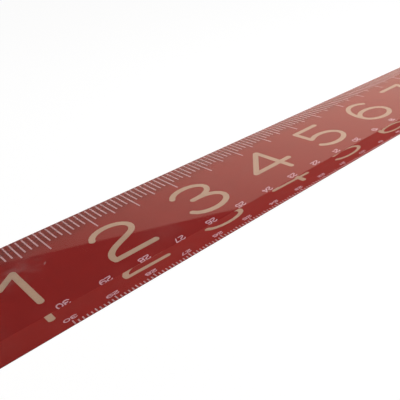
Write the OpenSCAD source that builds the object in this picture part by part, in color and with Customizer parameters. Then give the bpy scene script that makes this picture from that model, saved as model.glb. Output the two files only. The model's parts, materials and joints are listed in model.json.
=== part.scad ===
// Two-leaf folding rule: clear acrylic leaves printed on their undersides, and a brass rule joint.
// The rule lies open and straight. +X runs along it from the first leaf to the second, the joint
// line is at X = 0, the inch edge is on the +Y side, and the underside lies on Z = 0.

/* [Leaves] */
// Length of one leaf, from its free end to the joint line
leaf_l = 330.2; // [180:0.1:500]
// Width of a leaf
leaf_w = 30; // [26:0.5:45]
// Thickness of a leaf, with its printed layers
leaf_t = 5.3; // [4.5:0.1:8]
// Corner radius at the free end of a leaf
corner_r = 1.5; // [0.5:0.1:4]
// Thickness of the opaque red backing
backing_t = 0.1; // [0.08:0.02:0.3]
// Thickness of a printed mark
ink_t = 0.05; // [0.03:0.01:0.1]

/* [Rule joint] */
// Diameter of the round head
head_d = 26; // [22:0.5:32]
// Thickness of a cheek plate
cheek_t = 1.6; // [1.2:0.1:1.8]
// Thickness of a friction washer
washer_t = 0.3; // [0.2:0.05:0.4]
// Distance of a friction washer's rim from the head's rim
washer_rim = 1.5; // [1:0.1:4]
// Axial play on each side of the tongue
tongue_play = 0.05; // [0.03:0.01:0.1]
// Diameter of the pivot rivet
pivot_d = 5; // [3:0.5:7]
// Width of the countersunk rivet head beyond its shank, all round
pivot_head = 1; // [0.5:0.1:1.5]
// Radial running clearance of the tongue on the pivot rivet
bearing_play = 0.05; // [0.02:0.01:0.1]
// Width of the tail that fastens a plate to its leaf
tail_w = 11.8; // [9:0.1:14]
// Height of the tail's lower end above the metric edge
tail_edge = 6.6; // [6:0.1:10]
// Gap between a tail and the joint line
tail_gap = 0.8; // [0.5:0.1:2]
// Corner radius of a tail
tail_r = 2; // [1:0.1:3]
// Gap round a tail in its pocket
pocket_play = 0.05; // [0.03:0.01:0.15]
// Gap between the head and its seat in a leaf
seat_gap = 0.3; // [0.2:0.05:0.6]
// Gap between the two leaf ends when open
end_gap = 0.3; // [0.2:0.05:0.6]
// Gap between the two leaves when closed
closed_gap = 0.3; // [0.2:0.05:0.6]
// Diameter of a tail rivet
tail_rivet_d = 2; // [1.5:0.1:2.5]
// Distance of the tail rivets from the tail's edges
tail_rivet_edge = 2.7; // [2:0.1:3.5]

/* [Closing pin] */
// Diameter of the pin
pin_d = 2; // [1.5:0.1:2.5]
// Distance of the pin from the free end
pin_end = 9; // [6:0.5:12]
// Length of the pin inside its leaf
pin_in = 7; // [5:0.5:10]
// Length of the pin outside its leaf
pin_out = 2.5; // [1.5:0.1:4]
// Gap round the pin and beyond its tip in the other leaf
pin_gap = 0.35; // [0.3:0.05:0.6]

/* [Inch scale] */
// Divisions of an inch
inch_parts = 16; // [8:8:16]
// Length of the inch and half inch marks
inch_mark_l = 6.3; // [4:0.1:8]
// Length of the quarter inch marks
quarter_mark_l = 4.4; // [3:0.1:6]
// Length of the other marks
fine_mark_l = 2.9; // [2:0.1:4]
// Width of a mark
inch_mark_w = 0.38; // [0.2:0.02:0.5]
// Distance of the marks' outer ends from a leaf's edges, on both scales
mark_inset = 0.02; // [0.01:0.01:0.3]
// Height of the numerals' lower side above the metric edge
numeral_low = 7.35; // [6:0.05:9]
// Gap between the numerals and the inch marks
numeral_gap = 1.45; // [1:0.05:3]
// How much lower the two-digit numerals are than the one-digit ones
numeral_drop = 3.3; // [2:0.1:5]
// Stroke width of the numerals
numeral_stroke = 1.6; // [1:0.1:2]

/* [Metric scale] */
// Length of a leaf that is left over past its last whole centimetre, at least
metric_rest = 25; // [15:1:60]
// Length of the centimetre marks
cm_mark_l = 2.4; // [1.8:0.1:2.6]
// Length of the half centimetre marks
half_cm_mark_l = 1.9; // [1.4:0.1:2.2]
// Length of the millimetre marks
mm_mark_l = 1.5; // [0.8:0.1:1.8]
// Width of a mark
cm_mark_w = 0.3; // [0.15:0.01:0.35]
// Height of the numerals
cm_numeral_h = 1.6; // [1.4:0.1:2.2]
// Distance of the numerals' middle line from the metric edge
cm_numeral_y = 3.85; // [3.5:0.05:5]
// Stroke width of the numerals
cm_stroke = 0.28; // [0.2:0.02:0.4]

/* [Hidden] */

inch = 25.4;
cm = 10;
over = 0.2;                       // how far a cutting solid runs past what it cuts
head_r = head_d / 2;
washer_d = head_d - 2 * washer_rim;
seat_r = head_r + seat_gap;
span_y = leaf_w + closed_gap / 2 + head_r;
near_y = -span_y / 2;             // the metric edge
far_y = near_y + leaf_w;          // the inch edge
pivot_y = far_y + closed_gap / 2;
ink_z = backing_t;
blade_z = backing_t + ink_t;
mid_z = leaf_t / 2;
tongue_t = leaf_t - 2 * (cheek_t + washer_t + tongue_play);
tail_x = tail_gap + tail_w;       // far side of a tail from the joint line
tail_y = near_y + tail_edge;
tail_top = pivot_y - pivot_d;     // a tail runs on under the head to here
pivot_head_h = cheek_t * 0.6;
marks_stop = seat_r + 0.8;        // the inch scale is left out this near the pivot
metric_cm = floor((leaf_l - metric_rest) / cm);
numeral_h = leaf_w - inch_mark_l - numeral_gap - numeral_low;
numeral_y = numeral_low + numeral_h / 2;
numerals_stop = max(seat_r, tail_x) + 0.5;  // and the inch numerals end short of here
digit_grid = 15;                  // the digits are drawn on a grid this high

// Points on an elliptical arc
function arc(centre, radii, from, to, n) = [for (i = [0:n]) let (a = from + (to - from) * i / n)
    centre + [radii[0] * cos(a), radii[1] * sin(a)]];

// Points on a cubic curve, without the first
function curve(a, b, c, d, n) = [for (i = [1:n]) let (t = i / n, s = 1 - t)
    s * s * s * a + 3 * s * s * t * b + 3 * s * t * t * c + t * t * t * d];

function turned(runs) = [for (run = runs) [for (p = run) [0.6, 14.7] - p]];

// Centre lines of a digit, one list of points for each smooth stroke
function strokes(digit, n) =
    digit == 0 ? [arc([0, 7.35], [5.7, 6.95], 0, 360, 2 * n)] :
    digit == 1 ? [[[-2.3, 10.6], [2.1, 14.1]], [[2.1, 14.1], [2.1, 0.8]]] :
    digit == 2 ? [concat(arc([0.4, 10.85], [5.2, 3.55], 169, -38.6, n),
                         curve([4.46, 8.64], [1.5, 6.4], [-6.3, 5.4], [-5.05, 0.8], n)),
                  [[-5.05, 0.8], [5.9, 0.8]]] :
    digit == 3 ? [concat(arc([-0.3, 11.05], [5.4, 3.35], 162, -90, n), [[-2.1, 7.7]]),
                  arc([-0.5, 4.05], [5.95, 3.65], 90, -165, n)] :
    digit == 4 ? [[[3.4, 0.8], [3.4, 14.1]], [[3, 14.1], [-6.6, 4.9]], [[-6.6, 4.9], [7.1, 4.9]]] :
    digit == 5 ? [[[5.5, 13.85], [-4.4, 13.85]], [[-4.4, 13.85], [-4.5, 7.25]],
                  concat([[-4.5, 7.25]], arc([-0.25, 4.3], [6.1, 4], 106, -155, n))] :
    digit == 6 ? [arc([1.5, 5.2], [7.3, 9.05], 53, 180, n), arc([0.4, 4.35], [6.15, 4.1], 0, 360, 2 * n)] :
    digit == 7 ? [[[-5.2, 13.85], [5.4, 13.85]], [[5.4, 13.85], [-1.6, 0.8]]] :
    digit == 8 ? [arc([0, 11], [4.9, 3.35], 0, 360, 2 * n), arc([0, 4.05], [5.9, 3.65], 0, 360, 2 * n)] :
    turned(strokes(6, n));

function advance(digit) = digit == 1 ? 7.2 : 14.4;

// Unit normal of a run of points at point i
function normal(p, i) = let (d = p[min(i + 1, len(p) - 1)] - p[max(i - 1, 0)]) [-d[1], d[0]] / norm(d);

function offset_run(p, w) = [for (i = [0:len(p) - 1]) p[i] + w * normal(p, i)];

function reversed(p) = [for (i = [len(p) - 1:-1:0]) p[i]];

// One stroke of width w: a ring where the run closes on itself, or else a band with round ends
module stroke(run, w) {
    last = len(run) - 1;
    if (norm(run[0] - run[last]) < 0.001)
        difference() {
            polygon([for (i = [1:last]) run[i] - w / 2 * ring_normal(run, i)]);
            polygon([for (i = [1:last]) run[i] + w / 2 * ring_normal(run, i)]);
        }
    else {
        polygon(concat(offset_run(run, w / 2), reversed(offset_run(run, -w / 2))));
        for (end = [run[0], run[last]])
            translate(end) circle(d = w, $fn = 24);
    }
}

// Unit normal of a closed run, inwards where it turns anticlockwise
function ring_normal(p, i) = let (d = p[i == len(p) - 1 ? 1 : i + 1] - p[i - 1]) [-d[1], d[0]] / norm(d);

module digit_2d(digit, h, w, n) {
    k = h / digit_grid;
    for (run = strokes(digit, n))
        stroke(k * run, w);
}

// A whole number from 0 to 99, centred on the origin
module number_2d(value, h, w, n) {
    k = h / digit_grid;
    tens = floor(value / 10);
    ones = value % 10;
    pair = k * (advance(tens) + advance(ones));
    translate([0, -h / 2])
        if (tens == 0)
            digit_2d(ones, h, w, n);
        else {
            translate([(k * advance(tens) - pair) / 2, 0]) digit_2d(tens, h, w, n);
            translate([(pair - k * advance(ones)) / 2, 0]) digit_2d(ones, h, w, n);
        }
}

module on_leaf_b() {
    mirror([1, 0, 0]) children();
}

module layer(z, t) {
    translate([0, 0, z]) linear_extrude(t) children();
}

// Outline of the first leaf, with the seat for the head cut out of its corner
module leaf_2d() {
    body_l = leaf_l - end_gap / 2;
    difference() {
        translate([-leaf_l, near_y])
            union() {
                translate([corner_r, 0]) square([body_l - corner_r, leaf_w]);
                translate([0, corner_r]) square([corner_r, leaf_w - 2 * corner_r]);
                for (y = [corner_r, leaf_w - corner_r])
                    translate([corner_r, y]) circle(r = corner_r, $fn = 48);
            }
        translate([0, pivot_y]) circle(r = seat_r, $fn = 96);
    }
}

// Outline of the tail on the first leaf's plates, grown all round by grow
module tail_2d(grow = 0) {
    r = tail_r + grow;
    x0 = -tail_x - grow;
    x1 = -tail_gap + grow;
    y0 = tail_y - grow;
    translate([x0, y0 + r]) square([x1 - x0, tail_top + grow - y0 - r]);
    translate([x0 + r, y0]) square([x1 - x0 - 2 * r, r]);
    for (x = [x0 + r, x1 - r])
        translate([x, y0 + r]) circle(r = r, $fn = 48);
}

module plate_2d() {
    translate([0, pivot_y]) circle(r = head_r, $fn = 96);
    tail_2d();
}

// Places of the three rivets in the first leaf's tails
module at_tail_rivets() {
    low = tail_y + tail_rivet_edge;
    high = pivot_y - seat_r - tail_rivet_edge / 2;
    for (p = [[-tail_gap - tail_rivet_edge, low], [-tail_x + tail_rivet_edge, low],
              [-tail_gap - tail_w / 2, high]])
        translate(p) children();
}

module tail_rivet_holes() {
    at_tail_rivets() translate([0, 0, -over]) cylinder(d = tail_rivet_d, h = leaf_t + 2 * over, $fn = 48);
}

module tail_rivet_set() {
    at_tail_rivets() cylinder(d = tail_rivet_d, h = leaf_t, $fn = 48);
}

// The pivot rivet's shape, with its heads flush in both cheeks
module pivot_shape() {
    cylinder(d = pivot_d, h = leaf_t, $fn = 64);
    head_od = pivot_d + 2 * pivot_head;
    cylinder(d1 = head_od, d2 = pivot_d, h = pivot_head_h, $fn = 64);
    translate([0, 0, leaf_t - pivot_head_h]) cylinder(d1 = pivot_d, d2 = head_od, h = pivot_head_h, $fn = 64);
}

// A round hole or pin across the inch edge at the closing pin's place
module pin_bar(x, y0, y1, d) {
    translate([x, y0, mid_z]) rotate([-90, 0, 0]) cylinder(d = d, h = y1 - y0, $fn = 48);
}

module leaf_a_blade() {
    color([0.9, 0.86, 0.84, 0.35])
        difference() {
            layer(blade_z, leaf_t - blade_z) leaf_2d();
            layer(leaf_t - cheek_t, cheek_t + over) tail_2d(pocket_play);
            layer(0, cheek_t) tail_2d(pocket_play);
            tail_rivet_holes();
            pin_bar(-leaf_l + pin_end, far_y - pin_in, far_y + over, pin_d);
        }
}

module leaf_b_blade() {
    slot_t = tongue_t + 2 * tongue_play;
    color([0.9, 0.86, 0.84, 0.35])
        difference() {
            layer(blade_z, leaf_t - blade_z) on_leaf_b() leaf_2d();
            layer(mid_z - slot_t / 2, slot_t) on_leaf_b() tail_2d(pocket_play);
            on_leaf_b() tail_rivet_holes();
            pin_bar(leaf_l - pin_end, far_y - pin_out + closed_gap - pin_gap, far_y + over, pin_d + 2 * pin_gap);
        }
}

module leaf_a_backing() {
    color([0.55, 0.13, 0.13])
        layer(0, backing_t)
            difference() {
                leaf_2d();
                tail_2d(pocket_play);
            }
}

module leaf_b_backing() {
    color([0.55, 0.13, 0.13])
        difference() {
            layer(0, backing_t) on_leaf_b() leaf_2d();
            on_leaf_b() tail_rivet_holes();
        }
}

// Inch marks between two inch readings, along the inch edge
module inch_marks(from, to) {
    for (i = [ceil(from * inch_parts):floor(to * inch_parts)]) {
        x = i * inch / inch_parts - leaf_l;
        half = i % (inch_parts / 2) == 0;
        quarter = i % (inch_parts / 4) == 0;
        l = half ? inch_mark_l : quarter ? quarter_mark_l : fine_mark_l;
        at_end = x < -leaf_l + corner_r || x > leaf_l - corner_r;
        if (abs(x) > marks_stop && !at_end)
            translate([x - inch_mark_w / 2, far_y - l, ink_z]) cube([inch_mark_w, l - mark_inset, ink_t]);
    }
}

module inch_numerals(from, to) {
    for (value = [from:to]) {
        x = value * inch - leaf_l;
        h = value < 10 ? numeral_h : numeral_h - numeral_drop;
        half_w = (advance(floor(value / 10)) + advance(value % 10)) * h / digit_grid / 2;
        if (abs(x) - half_w > numerals_stop && abs(x) + inch / 4 < leaf_l)
            layer(ink_z, ink_t)
                translate([x, near_y + numeral_y]) number_2d(value, h, numeral_stroke, 14);
    }
}

// Metric marks that count down to a zero at x, along the metric edge
module cm_marks(zero) {
    for (i = [ceil(corner_r):metric_cm * cm]) {
        l = i % 10 == 0 ? cm_mark_l : i % 5 == 0 ? half_cm_mark_l : mm_mark_l;
        translate([zero - i - cm_mark_w / 2, near_y + mark_inset, ink_z])
            cube([cm_mark_w, l - mark_inset, ink_t]);
    }
}

module cm_numerals(zero) {
    for (value = [1:metric_cm])
        layer(ink_z, ink_t)
            translate([zero - value * cm, near_y + cm_numeral_y])
                rotate(180) number_2d(value, cm_numeral_h, cm_stroke, 6);
}

module leaf_a_inch_marks() {
    color([0.77, 0.55, 0.55]) inch_marks(0, leaf_l / inch);
}

module leaf_b_inch_marks() {
    color([0.77, 0.55, 0.55]) inch_marks(leaf_l / inch, 2 * leaf_l / inch);
}

module leaf_a_inch_numerals() {
    color([0.84, 0.71, 0.6]) inch_numerals(1, floor(leaf_l / inch));
}

module leaf_b_inch_numerals() {
    color([0.84, 0.71, 0.6]) inch_numerals(ceil(leaf_l / inch), floor(2 * leaf_l / inch));
}

module leaf_a_cm_marks() {
    color([0.78, 0.6, 0.72]) cm_marks(0);
}

module leaf_b_cm_marks() {
    color([0.78, 0.6, 0.72]) cm_marks(leaf_l);
}

module leaf_a_cm_numerals() {
    color([0.78, 0.6, 0.78]) cm_numerals(0);
}

module leaf_b_cm_numerals() {
    color([0.78, 0.6, 0.78]) cm_numerals(leaf_l);
}

module cheek(z) {
    difference() {
        layer(z, cheek_t) plate_2d();
        tail_rivet_holes();
        translate([0, pivot_y, 0]) pivot_shape();
    }
}

module cheek_top() {
    color([0.78, 0.62, 0.3]) cheek(leaf_t - cheek_t);
}

module cheek_bottom() {
    color([0.78, 0.62, 0.3]) cheek(0);
}

module cheek_rivets() {
    color([0.85, 0.7, 0.38]) tail_rivet_set();
}

module washer(z) {
    translate([0, pivot_y, z])
        difference() {
            cylinder(d = washer_d, h = washer_t, $fn = 96);
            translate([0, 0, -over]) cylinder(d = pivot_d, h = washer_t + 2 * over, $fn = 64);
        }
}

module washer_top() {
    color([0.7, 0.7, 0.72]) washer(leaf_t - cheek_t - washer_t);
}

module washer_bottom() {
    color([0.7, 0.7, 0.72]) washer(cheek_t);
}

module pivot_rivet() {
    color([0.72, 0.72, 0.74]) translate([0, pivot_y, 0]) pivot_shape();
}

module closing_pin() {
    color([0.72, 0.72, 0.74]) pin_bar(-leaf_l + pin_end, far_y - pin_in, far_y + pin_out, pin_d);
}

module tongue() {
    color([0.78, 0.62, 0.3])
        difference() {
            layer(mid_z - tongue_t / 2, tongue_t) on_leaf_b() plate_2d();
            on_leaf_b() tail_rivet_holes();
            translate([0, pivot_y, 0]) cylinder(r = pivot_d / 2 + bearing_play, h = leaf_t, $fn = 64);
        }
}

module tongue_rivets() {
    color([0.85, 0.7, 0.38]) on_leaf_b() tail_rivet_set();
}

leaf_a_blade();
leaf_a_backing();
leaf_a_inch_marks();
leaf_a_inch_numerals();
leaf_a_cm_marks();
leaf_a_cm_numerals();
cheek_top();
cheek_bottom();
cheek_rivets();
washer_top();
washer_bottom();
pivot_rivet();
closing_pin();
leaf_b_blade();
leaf_b_backing();
leaf_b_inch_marks();
leaf_b_inch_numerals();
leaf_b_cm_marks();
leaf_b_cm_numerals();
tongue();
tongue_rivets();
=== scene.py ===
"""Looks of a two-leaf folding rule: clear printed leaves joined by a brass rule joint."""

import json
from math import cos, radians, sin, tan

import bmesh
import bpy
from bpy.props import FloatProperty, FloatVectorProperty, PointerProperty
from mathutils import Matrix, Vector

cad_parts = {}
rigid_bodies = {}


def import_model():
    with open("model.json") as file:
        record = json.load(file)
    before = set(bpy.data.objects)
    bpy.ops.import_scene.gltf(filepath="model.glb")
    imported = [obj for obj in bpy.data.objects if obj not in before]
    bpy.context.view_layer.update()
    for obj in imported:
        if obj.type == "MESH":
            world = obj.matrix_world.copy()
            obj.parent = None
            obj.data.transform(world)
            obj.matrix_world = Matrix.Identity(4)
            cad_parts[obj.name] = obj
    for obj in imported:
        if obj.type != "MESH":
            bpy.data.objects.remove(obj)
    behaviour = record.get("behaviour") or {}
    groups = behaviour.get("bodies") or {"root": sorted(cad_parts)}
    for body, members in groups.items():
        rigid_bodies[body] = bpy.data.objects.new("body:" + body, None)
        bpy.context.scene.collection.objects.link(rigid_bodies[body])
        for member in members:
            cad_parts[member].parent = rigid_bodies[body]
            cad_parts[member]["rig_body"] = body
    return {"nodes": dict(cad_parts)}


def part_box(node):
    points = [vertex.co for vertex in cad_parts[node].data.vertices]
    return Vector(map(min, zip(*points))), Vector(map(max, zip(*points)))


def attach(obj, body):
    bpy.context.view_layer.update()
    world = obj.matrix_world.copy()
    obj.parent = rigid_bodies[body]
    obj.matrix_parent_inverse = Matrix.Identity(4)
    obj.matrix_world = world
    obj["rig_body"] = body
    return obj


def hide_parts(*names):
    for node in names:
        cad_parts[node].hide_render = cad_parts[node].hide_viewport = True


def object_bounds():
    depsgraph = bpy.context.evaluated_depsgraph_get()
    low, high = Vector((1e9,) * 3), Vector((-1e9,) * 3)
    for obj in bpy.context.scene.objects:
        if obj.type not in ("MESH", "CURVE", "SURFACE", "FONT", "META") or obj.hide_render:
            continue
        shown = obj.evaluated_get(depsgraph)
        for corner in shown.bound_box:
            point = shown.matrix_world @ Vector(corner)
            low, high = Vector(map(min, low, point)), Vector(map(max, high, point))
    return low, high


bl_info = {
    "name": "Folding Rule",
    "version": (1, 0, 0),
    "blender": (4, 5, 0),
    "location": "3D View > Sidebar > Folding Rule",
    "description": "Builds the looks of a clear folding rule around its packed model",
    "category": "Object",
}

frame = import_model()
CAD_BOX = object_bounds()
MM = 0.001
TOUCH = 0.01 * MM  # points nearer than this lie in the same plane
RELIEF = 0.01 * MM  # depth of the finest scratches and grain
LEAVES = ("leaf_a", "leaf_b")


# Properties ---------------------------------------------------------------------------------------


class RuleSizes(bpy.types.PropertyGroup):
    blade_bevel: FloatProperty(
        name="Blade edge bevel",
        description="Width of the polished bevel along a blade's long edges",
        default=0.05 * MM,
        unit="LENGTH",
    )
    blade_lean: FloatProperty(
        name="Blade edge lean",
        description="Angle by which a blade's long edges lean in towards the top, as cut ones do",
        default=radians(1.6),
        subtype="ANGLE",
    )
    optical_contact: FloatProperty(
        name="Optical contact",
        description="How far a blade reaches below the print bonded to it",
        default=0.07 * MM,
        unit="LENGTH",
    )
    metal_bevel: FloatProperty(
        name="Metal edge bevel",
        description="Width of the broken edge on the brass and steel parts",
        default=0.12 * MM,
        unit="LENGTH",
    )


def colour_property(name, description, default):
    return FloatVectorProperty(
        name=name, description=description, default=default, size=3, subtype="COLOR", min=0, max=1
    )


class RuleColours(bpy.types.PropertyGroup):
    backing: colour_property("Backing", "Colour of the red backing", (0.32, 0.024, 0.021))
    numerals: colour_property("Inch numerals", "Colour of the inch numerals", (0.585, 0.43, 0.31))
    marks: colour_property("Marks", "Colour of the inch and centimetre marks", (0.66, 0.44, 0.465))
    small_numerals: colour_property("Metric numerals", "Colour of the metric numerals", (0.78, 0.51, 0.58))
    brass: colour_property("Brass", "Colour of the brass plates", (0.74, 0.50, 0.20))
    rivet_brass: colour_property("Rivet brass", "Colour of the brass rivets", (0.80, 0.58, 0.26))
    steel: colour_property("Steel", "Colour of the pivot rivet, washers and pin", (0.55, 0.55, 0.56))


class StageSettings(bpy.types.PropertyGroup):
    lens: FloatProperty(name="Lens", description="Focal length of the camera", default=47.1, unit="CAMERA")
    edge_rise: FloatProperty(
        name="Edge rise",
        description="Elevation of the highest point of the bright sweep's straight upper edge",
        default=radians(30.95),
        subtype="ANGLE",
    )
    edge_turn: FloatProperty(
        name="Edge turn",
        description="Direction of that highest point, from +X",
        default=radians(64.7),
        subtype="ANGLE",
    )
    sweep: colour_property("Sweep", "Tint of the bright sweep that the rule mirrors", (1.0, 0.69, 0.56))
    sweep_strength: FloatProperty(
        name="Sweep strength",
        description="Strength of the bright sweep where it is brightest",
        default=1.2,
    )
    sweep_turn: FloatProperty(
        name="Sweep turn",
        description="Direction of the sweep's brightest part, from +X",
        default=radians(30),
        subtype="ANGLE",
    )
    ambient: FloatProperty(
        name="Ambient", description="Even light from all round on matt surfaces", default=0.12
    )
    first_power: FloatProperty(
        name="First softbox",
        description="Power of the softbox over the first leaf",
        default=0.34,
        unit="POWER",
    )
    second_power: FloatProperty(
        name="Second softbox",
        description="Power of the softbox over the second leaf",
        default=0.55,
        unit="POWER",
    )


# Shader building blocks ---------------------------------------------------------------------------


def add_node(tree, kind, inputs=None, **attributes):
    """Adds a node, sets its attributes, and sets or links its inputs by name or number."""
    node = tree.nodes.new(kind)
    for name, value in attributes.items():
        setattr(node, name, value)
    for name, value in (inputs or {}).items():
        if isinstance(value, bpy.types.NodeSocket):
            tree.links.new(value, node.inputs[name])
        else:
            node.inputs[name].default_value = value
    return node


def maths(tree, operation, *values):
    return add_node(tree, "ShaderNodeMath", dict(enumerate(values)), operation=operation).outputs[0]


def remap(tree, value, low, high, to_low, to_high):
    """Maps value from one range to another, held at both ends."""
    inputs = {"Value": value, "From Min": low, "From Max": high, "To Min": to_low, "To Max": to_high}
    return add_node(tree, "ShaderNodeMapRange", inputs, clamp=True).outputs[0]


def scaled(tree, colour, level):
    inputs = {0: colour, "Scale": level}
    return add_node(tree, "ShaderNodeVectorMath", inputs, operation="SCALE").outputs[0]


def mixed(tree, factor, a, b):
    node = add_node(tree, "ShaderNodeMix", data_type="RGBA")
    for name, value in ((0, factor), (6, a), (7, b)):
        if isinstance(value, bpy.types.NodeSocket):
            tree.links.new(value, node.inputs[name])
        else:
            node.inputs[name].default_value = value
    return node.outputs[2]


def noise(tree, place, scale, detail=3.0, roughness=0.55, stretch=None):
    if stretch:
        place = add_node(tree, "ShaderNodeMapping", {"Vector": place, "Scale": stretch}).outputs[0]
    inputs = {"Vector": place, "Scale": scale, "Detail": detail, "Roughness": roughness}
    return add_node(tree, "ShaderNodeTexNoise", inputs).outputs["Fac"]


def new_group(name, inputs, outputs):
    """An empty shader group with float or colour sockets, and its input and output nodes."""
    group = bpy.data.node_groups.new(name, "ShaderNodeTree")
    for direction, sockets in (("INPUT", inputs), ("OUTPUT", outputs)):
        for socket, default in sockets.items():
            kind = "NodeSocketColor" if isinstance(default, tuple) else "NodeSocketFloat"
            made = group.interface.new_socket(name=socket, in_out=direction, socket_type=kind)
            if direction == "INPUT":
                made.default_value = default
    source = group.nodes.new("NodeGroupInput")
    target = group.nodes.new("NodeGroupOutput")
    return group, source.outputs, target.inputs


def object_place(tree):
    return add_node(tree, "ShaderNodeTexCoord").outputs["Object"]


def handling_marks():
    """Masks of what handling leaves: fine straight scratches and soft smudges."""
    name = "Handling marks"
    if name in bpy.data.node_groups:
        return bpy.data.node_groups[name]
    group, source, target = new_group(name, {"Amount": 1.0}, {"Scratches": 0.0, "Smudges": 0.0})
    place = object_place(group)
    scratches = None
    for turn, length in ((0.35, 60.0), (-0.9, 45.0), (1.4, 80.0)):
        turned = add_node(group, "ShaderNodeMapping", {"Vector": place, "Rotation": (0, 0, turn)}).outputs[0]
        line = noise(group, turned, 1.0, detail=2.0, stretch=(length, 5200.0, 900.0))
        thin = remap(group, line, 0.70, 0.76, 0.0, 1.0)
        scratches = maths(group, "MAXIMUM", scratches, thin) if scratches else thin
    sparse = remap(group, noise(group, place, 130.0), 0.5, 0.62, 0.0, 1.0)
    scratches = maths(group, "MULTIPLY", maths(group, "MULTIPLY", scratches, sparse), source["Amount"])
    smudge = noise(group, place, 75.0, detail=5.0, roughness=0.6)
    smudges = maths(group, "MULTIPLY", remap(group, smudge, 0.52, 0.75, 0.0, 1.0), source["Amount"])
    group.links.new(scratches, target["Scratches"])
    group.links.new(smudges, target["Smudges"])
    return group


def screen_print():
    """A screen-printed ink film: its colour with the mesh's fine grain and slow mottling."""
    name = "Screen print"
    if name in bpy.data.node_groups:
        return bpy.data.node_groups[name]
    inputs = {"Ink": (0.5, 0.5, 0.5, 1.0), "Mottle": 0.1, "Grain": 0.1}
    outputs = {"Colour": (0.0, 0.0, 0.0, 1.0), "Roughness": 0.5, "Height": 0.0}
    group, source, target = new_group(name, inputs, outputs)
    place = object_place(group)
    slow = remap(group, noise(group, place, 160.0, detail=4.0), 0.3, 0.7, -1.0, 1.0)
    grain = remap(group, noise(group, place, 5200.0, detail=1.0), 0.3, 0.7, -1.0, 1.0)
    change = maths(group, "ADD", maths(group, "MULTIPLY", slow, source["Mottle"]),
                   maths(group, "MULTIPLY", grain, source["Grain"]))
    level = maths(group, "ADD", change, 1.0)
    group.links.new(scaled(group, source["Ink"], level), target["Colour"])
    group.links.new(remap(group, slow, -1.0, 1.0, 0.48, 0.62), target["Roughness"])
    group.links.new(grain, target["Height"])
    return group


def brushed_metal():
    """Rolled and hand-finished metal: brushing along the rule, dull patches and darker handling."""
    name = "Brushed metal"
    if name in bpy.data.node_groups:
        return bpy.data.node_groups[name]
    inputs = {"Metal": (0.7, 0.7, 0.7, 1.0), "Tarnish": (0.2, 0.1, 0.05, 1.0), "Wear": 0.5}
    outputs = {"Colour": (0.0, 0.0, 0.0, 1.0), "Roughness": 0.3, "Height": 0.0}
    group, source, target = new_group(name, inputs, outputs)
    place = object_place(group)
    lines = noise(group, place, 1.0, detail=3.0, stretch=(140.0, 7000.0, 2500.0))
    patches = noise(group, place, 190.0, detail=5.0, roughness=0.62)
    spots = remap(group, noise(group, place, 1400.0, detail=2.0), 0.66, 0.74, 0.0, 0.5)
    dull = remap(group, patches, 0.42, 0.72, 0.0, 1.0)
    tarnished = maths(group, "MULTIPLY", maths(group, "MAXIMUM", maths(group, "MULTIPLY", dull, 0.55), spots),
                      source["Wear"])
    colour = mixed(group, tarnished, source["Metal"], source["Tarnish"])
    streaked = maths(group, "ADD", remap(group, lines, 0.3, 0.7, 0.28, 0.44),
                     maths(group, "MULTIPLY", tarnished, 0.3))
    group.links.new(colour, target["Colour"])
    group.links.new(streaked, target["Roughness"])
    group.links.new(lines, target["Height"])
    return group


# Materials ----------------------------------------------------------------------------------------


def opaque(colour):
    return (*colour, 1.0)


def empty_material(name):
    material = bpy.data.materials.new(name)
    material.use_nodes = True
    tree = material.node_tree
    tree.nodes.clear()
    return material, tree, add_node(tree, "ShaderNodeOutputMaterial")


def use_group(tree, group, inputs):
    node = add_node(tree, "ShaderNodeGroup", node_tree=group)
    for name, value in inputs.items():
        node.inputs[name].default_value = value
    return node.outputs


def spot(tree, place, centre, size, turn=0.0):
    """Mask of one soft-edged elliptical spot on the rule's upper side."""
    mapping = add_node(tree, "ShaderNodeMapping", {
        "Vector": place, "Location": centre, "Rotation": (0, 0, turn), "Scale": (*size, 1.0),
    }, vector_type="TEXTURE").outputs[0]
    inputs = {0: mapping, 1: (1.0, 1.0, 0.0)}
    flat = add_node(tree, "ShaderNodeVectorMath", inputs, operation="MULTIPLY").outputs[0]
    distance = add_node(tree, "ShaderNodeVectorMath", {0: flat}, operation="LENGTH").outputs["Value"]
    return remap(tree, distance, 0.3, 1.0, 1.0, 0.0)


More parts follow.
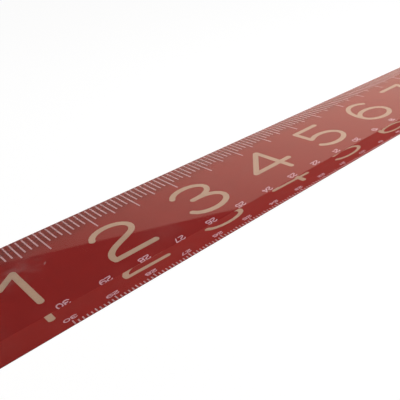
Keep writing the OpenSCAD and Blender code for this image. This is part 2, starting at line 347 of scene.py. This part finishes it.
def acrylic_material():
    """Clear acrylic: it bends light, and lamps shine through it onto the print inside."""
    material, tree, output = empty_material("Clear acrylic")
    marks = use_group(tree, handling_marks(), {"Amount": 1.0})
    place = object_place(tree)
    thumb = spot(tree, place, (-0.303, -0.004, 0), (0.009, 0.006), 0.5)
    uneven = remap(tree, noise(tree, place, 420.0, detail=4.0), 0.4, 0.65, 0.0, 1.0)
    thumb = maths(tree, "MULTIPLY", thumb, uneven)
    nick = spot(tree, place, (-0.297, -0.0054, 0), (0.0009, 0.0003), 0.9)
    smudge_haze = maths(tree, "MULTIPLY", marks["Smudges"], 0.15)
    thumb_haze = maths(tree, "MULTIPLY", thumb, 0.4)
    haze = maths(tree, "MAXIMUM", maths(tree, "MAXIMUM", smudge_haze, thumb_haze), nick)
    rough = maths(tree, "ADD", maths(tree, "MULTIPLY", marks["Scratches"], 0.12),
                  maths(tree, "MULTIPLY", marks["Smudges"], 0.05))
    height = maths(tree, "MULTIPLY", marks["Scratches"], -1.0)
    bump = add_node(tree, "ShaderNodeBump", {"Height": height, "Strength": 0.25, "Distance": RELIEF})
    clear = add_node(tree, "ShaderNodeBsdfPrincipled", {
        "Base Color": (0.99, 0.985, 0.98, 1.0), "Roughness": maths(tree, "ADD", rough, 0.004),
        "Normal": bump.outputs[0], "IOR": 1.49, "Transmission Weight": 1.0,
        "Sheen Weight": haze, "Sheen Roughness": 0.6,
    })
    open_to_lamps = add_node(tree, "ShaderNodeBsdfTransparent", {"Color": (0.9, 0.9, 0.9, 1.0)})
    lamp_ray = add_node(tree, "ShaderNodeLightPath").outputs["Is Shadow Ray"]
    choices = {0: lamp_ray, 1: clear.outputs[0], 2: open_to_lamps.outputs[0]}
    shader = add_node(tree, "ShaderNodeMixShader", choices)
    tree.links.new(shader.outputs[0], output.inputs["Surface"])
    return material


def ink_material(name, ink, mottle, grain, painted_edge_shade_level=1.0):
    """A printed layer seen through the acrylic, with hardly any gloss, and painted shade that darkens it
    along the inch edge.
    """
    material, tree, output = empty_material(name)
    film = use_group(tree, screen_print(), {"Ink": opaque(ink), "Mottle": mottle, "Grain": grain})
    # Painted shade: the colour is scaled down over the last 5 mm towards the inch edge, reaching the given
    # level 1.5 mm from it, to stand in for the shade along that edge.
    across = add_node(tree, "ShaderNodeSeparateXYZ", {0: object_place(tree)}).outputs["Y"]
    inch_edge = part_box("leaf_a_blade")[1].y
    level = remap(tree, across, inch_edge - 5.0 * MM, inch_edge - 1.5 * MM, 1.0, painted_edge_shade_level)
    bump = add_node(tree, "ShaderNodeBump", {"Height": film["Height"], "Strength": 0.15, "Distance": RELIEF})
    shader = add_node(tree, "ShaderNodeBsdfPrincipled", {
        "Base Color": scaled(tree, film["Colour"], level), "Roughness": film["Roughness"],
        "Normal": bump.outputs[0], "Specular IOR Level": 0.08,
    })
    tree.links.new(shader.outputs[0], output.inputs["Surface"])
    return material


def metal_material(name, metal, tarnish, wear):
    """Brushed metal with scratches and smudges from handling."""
    material, tree, output = empty_material(name)
    inputs = {"Metal": opaque(metal), "Tarnish": opaque(tarnish), "Wear": wear}
    finish = use_group(tree, brushed_metal(), inputs)
    marks = use_group(tree, handling_marks(), {"Amount": 1.0})
    rough = maths(tree, "ADD", finish["Roughness"], maths(tree, "MULTIPLY", marks["Smudges"], 0.12))
    height = maths(tree, "SUBTRACT", finish["Height"], maths(tree, "MULTIPLY", marks["Scratches"], 0.8))
    bump = add_node(tree, "ShaderNodeBump", {"Height": height, "Strength": 0.3, "Distance": RELIEF})
    shader = add_node(tree, "ShaderNodeBsdfPrincipled", {
        "Base Color": finish["Colour"], "Metallic": 1.0, "Roughness": rough, "Normal": bump.outputs[0],
    })
    tree.links.new(shader.outputs[0], output.inputs["Surface"])
    return material


def floor_material():
    """White paper to the camera, and a warm wooden bench to what the rule mirrors and lets through."""
    material, tree, output = empty_material("White paper")
    fibres = noise(tree, object_place(tree), 900.0, detail=3.0)
    wood = mixed(tree, fibres, (0.58, 0.18, 0.145, 1.0), (0.66, 0.23, 0.185, 1.0))
    bench = add_node(tree, "ShaderNodeBsdfDiffuse", {"Color": wood})
    matt = add_node(tree, "ShaderNodeBsdfDiffuse", {"Color": (0.12, 0.12, 0.12, 1.0)})
    glow = add_node(tree, "ShaderNodeEmission", {"Color": (1.0, 1.0, 1.0, 1.0), "Strength": 0.94})
    paper = add_node(tree, "ShaderNodeAddShader", {0: matt.outputs[0], 1: glow.outputs[0]})
    camera_ray = add_node(tree, "ShaderNodeLightPath").outputs["Is Camera Ray"]
    choices = {0: camera_ray, 1: bench.outputs[0], 2: paper.outputs[0]}
    shader = add_node(tree, "ShaderNodeMixShader", choices)
    tree.links.new(shader.outputs[0], output.inputs["Surface"])
    return material


def give_material(obj, material):
    obj.data.materials.clear()
    obj.data.materials.append(material)


# Modelling helpers --------------------------------------------------------------------------------


def edit(obj):
    """Makes obj the only selected object and opens it in edit mode with nothing selected."""
    bpy.ops.object.select_all(action="DESELECT")
    obj.select_set(True)
    bpy.context.view_layer.objects.active = obj
    bpy.ops.object.mode_set(mode="EDIT")
    bpy.ops.mesh.select_all(action="DESELECT")


def select_points(obj, test):
    """Selects the points in edit mode that pass the test, and no others."""
    bpy.ops.mesh.select_mode(type="VERT")
    bpy.ops.mesh.select_all(action="DESELECT")
    mesh = bmesh.from_edit_mesh(obj.data)
    for vert in mesh.verts:
        vert.select = test(vert.co)
    mesh.select_flush(True)
    bmesh.update_edit_mesh(obj.data)


def select_edges(obj, test):
    """Selects the edges in edit mode whose two ends and two face normals pass the test."""
    bpy.ops.mesh.select_mode(type="EDGE")
    mesh = bmesh.from_edit_mesh(obj.data)
    for edge in mesh.edges:
        if len(edge.link_faces) == 2:
            a, b = (v.co for v in edge.verts)
            if test(a, b, [f.normal for f in edge.link_faces]):
                edge.select = True
    mesh.select_flush(True)
    bmesh.update_edit_mesh(obj.data)


def merged_copy(node, name):
    """A copy of a CAD node's mesh with its corners merged and its flat faces whole."""
    copy = bpy.data.objects.new(name, frame["nodes"][node].data.copy())
    bpy.context.scene.collection.objects.link(copy)
    edit(copy)
    bpy.ops.mesh.select_all(action="SELECT")
    bpy.ops.mesh.remove_doubles(threshold=0.002 * MM)
    bpy.ops.mesh.dissolve_limited(angle_limit=radians(0.3))
    bpy.ops.mesh.select_all(action="DESELECT")
    return copy


def finish_piece(piece, node, material, smooth):
    """Leaves edit mode, smooths shallow edges, and puts the piece in the node's place."""
    bpy.ops.object.mode_set(mode="OBJECT")
    bpy.ops.object.shade_smooth_by_angle(angle=smooth)
    give_material(piece, material)
    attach(piece, frame["nodes"][node]["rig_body"])
    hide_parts(node)


def rim_edge(a, b, normals, z):
    """True for an edge at height z between a level face and an upright one."""
    level = abs(a.z - z) < TOUCH and abs(b.z - z) < TOUCH
    slopes = sorted(abs(n.z) for n in normals)
    return level and slopes[0] < 0.1 and slopes[1] > 0.9


# Operators ----------------------------------------------------------------------------------------


class RULE_OT_blades(bpy.types.Operator):
    """Model the two clear blades with polished edges, in contact with the print beneath them"""

    bl_idname = "rule.blades"
    bl_label = "Acrylic blades"

    def execute(self, context):
        sizes = context.scene.rule_sizes
        material = acrylic_material()
        for leaf in LEAVES:
            node = f"{leaf}_blade"
            low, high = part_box(node)
            blade = merged_copy(node, f"{leaf}_acrylic")
            self.reach_print(blade, low.z, sizes.optical_contact)
            inward = (high.z - low.z) * tan(sizes.blade_lean)
            for side, step in ((low.y, inward), (high.y, -inward)):
                self.lean_edge(blade, side, high.z, step)
            self.polish_edges(blade, low, high, sizes.blade_bevel)
            finish_piece(blade, node, material, radians(8))
        return {"FINISHED"}

    def reach_print(self, blade, bottom, depth):
        """Lowers the blade's bottom face so that the print lies inside the acrylic."""
        select_points(blade, lambda p: abs(p.z - bottom) < TOUCH)
        bpy.ops.transform.translate(value=(0, 0, -depth))

    def lean_edge(self, blade, side, top, step):
        """Moves one long edge's upper corner in, so that its face leans."""
        select_points(blade, lambda p: abs(p.y - side) < TOUCH and abs(p.z - top) < TOUCH)
        bpy.ops.transform.translate(value=(0, step, 0))

    def polish_edges(self, blade, low, high, width):
        """Bevels the upper edges along both sides, and keeps the level faces flat."""
        side_band = 0.5 * MM
        near, far = low.y + side_band, high.y - side_band
        bpy.ops.mesh.select_all(action="DESELECT")

        def wanted(a, b, normals):
            on_side = (a.y < near and b.y < near) or (a.y > far and b.y > far)
            return on_side and rim_edge(a, b, normals, high.z)

        select_edges(blade, wanted)
        bpy.ops.mesh.bevel(offset=width, segments=3, profile=0.5, affect="EDGES", clamp_overlap=True)
        bpy.ops.mesh.select_all(action="DESELECT")

        def round_level_face(a, b, normals):
            return any(abs(n.z) > 0.99999 for n in normals)

        select_edges(blade, round_level_face)
        bpy.ops.mesh.mark_sharp()


class RULE_OT_print(bpy.types.Operator):
    """Give the red backing and the printed marks and numerals their ink"""

    bl_idname = "rule.print"
    bl_label = "Printed layers"

    def execute(self, context):
        colours = context.scene.rule_colours
        mark_ink = ink_material("Pinkish white ink", colours.marks, 0.06, 0.08)
        inks = {
            # The red backing gets painted shade along the inch edge, down to 68 percent of its brightness.
            "backing": ink_material("Red backing", colours.backing, 0.035, 0.03, painted_edge_shade_level=0.68),
            "inch_numerals": ink_material("Tan ink", colours.numerals, 0.05, 0.05),
            "inch_marks": mark_ink,
            "cm_marks": mark_ink,
            "cm_numerals": ink_material("Lilac ink", colours.small_numerals, 0.06, 0.08),
        }
        for leaf in LEAVES:
            for layer, ink in inks.items():
                give_material(frame["nodes"][f"{leaf}_{layer}"], ink)
        return {"FINISHED"}


class RULE_OT_joint(bpy.types.Operator):
    """Finish the brass plates, the washers, the rivets and the closing pin"""

    bl_idname = "rule.joint"
    bl_label = "Rule joint"

    def execute(self, context):
        bevel = context.scene.rule_sizes.metal_bevel
        colours = context.scene.rule_colours
        brass = metal_material("Brass", colours.brass, (0.30, 0.16, 0.05), 0.8)
        rivet_brass = metal_material("Rivet brass", colours.rivet_brass, (0.34, 0.19, 0.06), 0.5)
        steel = metal_material("Steel", colours.steel, (0.20, 0.17, 0.15), 0.5)
        for node in ("cheek_top", "cheek_bottom", "tongue"):
            self.bevelled(node, f"{node}_plate", bevel, brass, "brass")
        for node in ("cheek_rivets", "tongue_rivets"):
            self.bevelled(node, f"{node}_turned", bevel / 2, rivet_brass, "rivet_brass")
        self.bevelled("pivot_rivet", "pivot_rivet_turned", bevel / 2, steel, "steel")
        self.bevelled("closing_pin", "closing_pin_turned", bevel, steel, "steel")
        for node in ("washer_top", "washer_bottom"):
            give_material(frame["nodes"][node], steel)
        return {"FINISHED"}

    def bevelled(self, node, name, width, material, slot):
        """Puts a copy with broken outer edges in a CAD node's place."""

        def sharp(a, b, normals):
            return normals[0].angle(normals[1]) > radians(40)

        piece = merged_copy(node, name)
        select_edges(piece, sharp)
        bpy.ops.mesh.bevel(offset=width, segments=2, profile=0.5, affect="EDGES", clamp_overlap=True)
        finish_piece(piece, node, material, radians(28))


class RULE_OT_stage(bpy.types.Operator):
    """Lay the floor, hang the lights and place the camera"""

    bl_idname = "rule.stage"
    bl_label = "Stage"

    def execute(self, context):
        settings = context.scene.rule_stage
        self.floor()
        self.softbox("First softbox", (-0.17, -0.04, 0.27), (-0.17, 0, 0), 0.2, settings.first_power)
        self.softbox("Second softbox", (0.17, -0.04, 0.4), (0.17, 0, 0), 0.3, settings.second_power)
        self.world(context.scene, settings)
        self.camera(context.scene, settings)
        context.scene.view_settings.view_transform = "Standard"
        return {"FINISHED"}

    def floor(self):
        clearance = 0.05 * MM
        width = 12
        bpy.ops.mesh.primitive_plane_add(size=width, location=(0, 0, -clearance))
        floor = bpy.context.object
        floor.name = "floor"
        bpy.ops.object.transform_apply(location=True, rotation=False, scale=False)
        give_material(floor, floor_material())

    def softbox(self, name, place, target, size, power):
        bpy.ops.object.light_add(type="AREA", location=place)
        lamp = bpy.context.object
        lamp.name = name
        lamp.data.shape = "DISK"
        lamp.data.size = size
        lamp.data.energy = power
        lamp.rotation_mode = "QUATERNION"
        lamp.rotation_quaternion = (Vector(target) - Vector(place)).to_track_quat("-Z", "Y")
        lamp.visible_camera = False

    def world(self, scene, settings):
        """White to the camera, an even light to matt surfaces, and a bright sweep to mirrors."""
        world = bpy.data.worlds.new("Studio")
        scene.world = world
        world.use_nodes = True
        tree = world.node_tree
        tree.nodes.clear()
        direction = add_node(tree, "ShaderNodeTexCoord").outputs["Generated"]
        rise = add_node(tree, "ShaderNodeSeparateXYZ", {0: direction}).outputs["Z"]
        towards_top = self.part_along(tree, direction, settings.edge_turn)
        edge = maths(tree, "MULTIPLY", towards_top, tan(settings.edge_rise))
        blur = 0.002
        above = remap(tree, maths(tree, "SUBTRACT", rise, edge), -blur, blur, 0.0, 1.0)
        fade_start, fade_end = 0.425, 0.925
        towards_bright = self.part_along(tree, direction, settings.sweep_turn)
        strength = remap(tree, towards_bright, fade_start, fade_end, 0.0, settings.sweep_strength)
        dark_room = (0.03, 0.028, 0.028, 1.0)
        mirrored = mixed(tree, above, scaled(tree, settings.sweep, strength), dark_room)
        rays = add_node(tree, "ShaderNodeLightPath").outputs
        matt = mixed(tree, rays["Is Diffuse Ray"], mirrored, opaque([settings.ambient] * 3))
        seen = mixed(tree, rays["Is Camera Ray"], matt, (0.97, 0.97, 0.97, 1.0))
        light = add_node(tree, "ShaderNodeBackground", {"Color": seen, "Strength": 1.0})
        output = add_node(tree, "ShaderNodeOutputWorld")
        tree.links.new(light.outputs[0], output.inputs["Surface"])

    def part_along(self, tree, direction, turn):
        """How far a direction reaches along a level line turned from +X, either way."""
        line = (cos(turn), sin(turn), 0)
        reach = add_node(tree, "ShaderNodeVectorMath", {0: direction, 1: line}, operation="DOT_PRODUCT")
        return maths(tree, "ABSOLUTE", reach.outputs["Value"])

    def camera(self, scene, settings):
        """Looks along the rule from above its first inches, leaning over the metric edge."""
        bpy.ops.object.camera_add()
        camera = bpy.context.object
        camera.name = "Camera"
        camera.data.lens = settings.lens
        camera.data.clip_start = 0.005
        zero_end = Vector((CAD_BOX[0].x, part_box("leaf_a_blade")[0].y, 0))
        place = zero_end + Vector((0.81, -77.84, 66.91)) * MM
        forward = Vector((0.5558, 0.6824, -0.4748)).normalized()
        right = Vector((0.7396, -0.6666, -0.0923))
        right = (right - right.dot(forward) * forward).normalized()
        up = right.cross(forward)
        turn = Matrix((right, up, -forward)).transposed().to_4x4()
        camera.matrix_world = Matrix.Translation(place) @ turn
        scene.camera = camera


class RULE_PT_panel(bpy.types.Panel):
    """The steps that build the folding rule, in order"""

    bl_idname = "RULE_PT_panel"
    bl_label = "Folding Rule"
    bl_space_type = "VIEW_3D"
    bl_region_type = "UI"
    bl_category = "Folding Rule"

    def draw(self, context):
        for step in STEPS:
            self.layout.operator(step.bl_idname)
        for settings in (context.scene.rule_sizes, context.scene.rule_colours, context.scene.rule_stage):
            for name in settings.__annotations__:
                self.layout.prop(settings, name)


STEPS = (RULE_OT_stage, RULE_OT_print, RULE_OT_blades, RULE_OT_joint)
SETTINGS = {"rule_sizes": RuleSizes, "rule_colours": RuleColours, "rule_stage": StageSettings}


def register():
    for cls in (*SETTINGS.values(), *STEPS, RULE_PT_panel):
        bpy.utils.register_class(cls)
    for name, cls in SETTINGS.items():
        setattr(bpy.types.Scene, name, PointerProperty(type=cls))


def unregister():
    for name in SETTINGS:
        delattr(bpy.types.Scene, name)
    for cls in reversed((*SETTINGS.values(), *STEPS, RULE_PT_panel)):
        bpy.utils.unregister_class(cls)


def main():
    register()
    bpy.ops.rule.stage()
    bpy.ops.rule.print()
    bpy.ops.rule.blades()
    bpy.ops.rule.joint()


if __name__ == "__main__":
    main()
